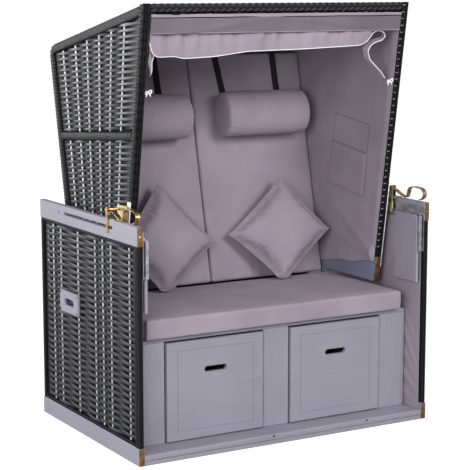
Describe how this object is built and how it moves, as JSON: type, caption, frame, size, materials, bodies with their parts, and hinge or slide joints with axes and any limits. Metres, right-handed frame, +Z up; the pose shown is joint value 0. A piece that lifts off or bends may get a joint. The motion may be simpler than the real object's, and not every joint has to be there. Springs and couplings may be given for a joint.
{
  "type": "hooded beach chair",
  "caption": "Wicker beach chair for two: a woven hood with padded back tilts between woven side panels over a seat box with drawers, fold-down tables and sliding latches.",
  "frame": {"origin": "middle of the underside of the base, on the ground", "axes": "+X to the right as seen from the front, +Y to the back, +Z up"},
  "size_m": [1.1948, 0.826, 1.519],
  "materials": {
    "paint": "matte lilac-grey paint over wood",
    "shaded_paint": "blue-grey paint over wood",
    "rattan": "satin woven strands",
    "fabric": "plain woven outdoor cloth",
    "brass": "brushed and slightly tarnished",
    "zinc": "yellow zinc plate",
    "steel": "bright zinc plate"
  },
  "bodies": {
    "root": {"floor_board": "paint", "front_sill": "paint", "right_bottom_rail": "paint", "left_bottom_rail": "paint", "right_top_rail": "paint", "left_top_rail": "paint", "right_base_panel": "rattan", "left_base_panel": "rattan", "right_base_lining": "fabric", "left_base_lining": "fabric", "right_top_cap": "brass", "left_top_cap": "brass", "right_bottom_cap": "brass", "left_bottom_cap": "brass", "right_carry_grip": "paint", "left_carry_grip": "paint", "right_notch_rack": "steel", "left_notch_rack": "steel", "base_back": "rattan", "right_seat_side": "paint", "left_seat_side": "paint", "seat_divider": "paint", "seat_board": "paint", "seat_cushion": "fabric", "right_throw_pillow": "fabric", "left_throw_pillow": "fabric", "right_pivot_bracket": "steel", "left_pivot_bracket": "steel", "right_table_hinge": "steel", "left_table_hinge": "steel"},
    "hood": {"right_hood_side": "rattan", "left_hood_side": "rattan", "right_hood_board": "shaded_paint", "left_hood_board": "shaded_paint", "right_slotted_bar": "steel", "left_slotted_bar": "steel", "front_braid": "rattan", "roof_panel": "rattan", "hood_back": "rattan", "right_hood_lining": "fabric", "left_hood_lining": "fabric", "roof_lining": "fabric", "awning": "fabric", "backrest_board": "paint", "right_back_pad": "fabric", "left_back_pad": "fabric", "right_neck_roll": "fabric", "left_neck_roll": "fabric"},
    "drawer_right": {"right_drawer_front": "paint", "right_drawer_box": "paint"},
    "table_right": {"right_side_table": "paint"},
    "stay_right": {"right_table_stay": "zinc"},
    "slider_right": {"right_lock_plate": "zinc"},
    "latch_right": {"right_latch_handle": "brass"},
    "drawer_left": {"left_drawer_front": "paint", "left_drawer_box": "paint"},
    "table_left": {"left_side_table": "paint"},
    "stay_left": {"left_table_stay": "zinc"},
    "slider_left": {"left_lock_plate": "zinc"},
    "latch_left": {"left_latch_handle": "brass"}
  },
  "joints": [
    {"name": "hood_tilt", "type": "hinge", "parent": "root", "child": "hood", "pos_m": [0, 0.17, 0.43], "axis": [-1, 0, 0], "range_deg": [0, 45]},
    {"name": "drawer_right_slide", "type": "slide", "parent": "root", "child": "drawer_right", "axis": [0, -1, 0], "range_m": [0, 0.33]},
    {"name": "table_right_fold", "type": "hinge", "parent": "root", "child": "table_right", "pos_m": [0.556, -0.314, 0.7605], "axis": [0, 1, 0], "range_deg": [0, 90]},
    {"name": "stay_right_fold", "type": "hinge", "parent": "root", "child": "stay_right", "pos_m": [0.5525, -0.3885, 0.632], "axis": [0, -1, 0], "range_deg": [0, 23]},
    {"name": "slider_right_travel", "type": "slide", "parent": "root", "child": "slider_right", "axis": [0, 1, 0], "range_m": [0, 0.2342]},
    {"name": "latch_right_lift", "type": "slide", "parent": "slider_right", "child": "latch_right", "axis": [0, 0, 1], "range_m": [-0.0032, 0]},
    {"name": "drawer_left_slide", "type": "slide", "parent": "root", "child": "drawer_left", "axis": [0, -1, 0], "range_m": [0, 0.33]},
    {"name": "table_left_fold", "type": "hinge", "parent": "root", "child": "table_left", "pos_m": [-0.556, -0.314, 0.7605], "axis": [0, -1, 0], "range_deg": [0, 90]},
    {"name": "stay_left_fold", "type": "hinge", "parent": "root", "child": "stay_left", "pos_m": [-0.5525, -0.3885, 0.632], "axis": [0, 1, 0], "range_deg": [0, 23]},
    {"name": "slider_left_travel", "type": "slide", "parent": "root", "child": "slider_left", "axis": [0, 1, 0], "range_m": [0, 0.2342]},
    {"name": "latch_left_lift", "type": "slide", "parent": "slider_left", "child": "latch_left", "axis": [0, 0, 1], "range_m": [-0.0032, 0]}
  ],
  "couplings": [
    {"joint": "slider_right_travel", "follows": "hood_tilt", "m_per_rad": 0.298},
    {"joint": "stay_right_fold", "follows": "table_right_fold", "ratio": 0.255},
    {"joint": "slider_left_travel", "follows": "hood_tilt", "m_per_rad": 0.298},
    {"joint": "stay_left_fold", "follows": "table_left_fold", "ratio": 0.255}
  ]
}
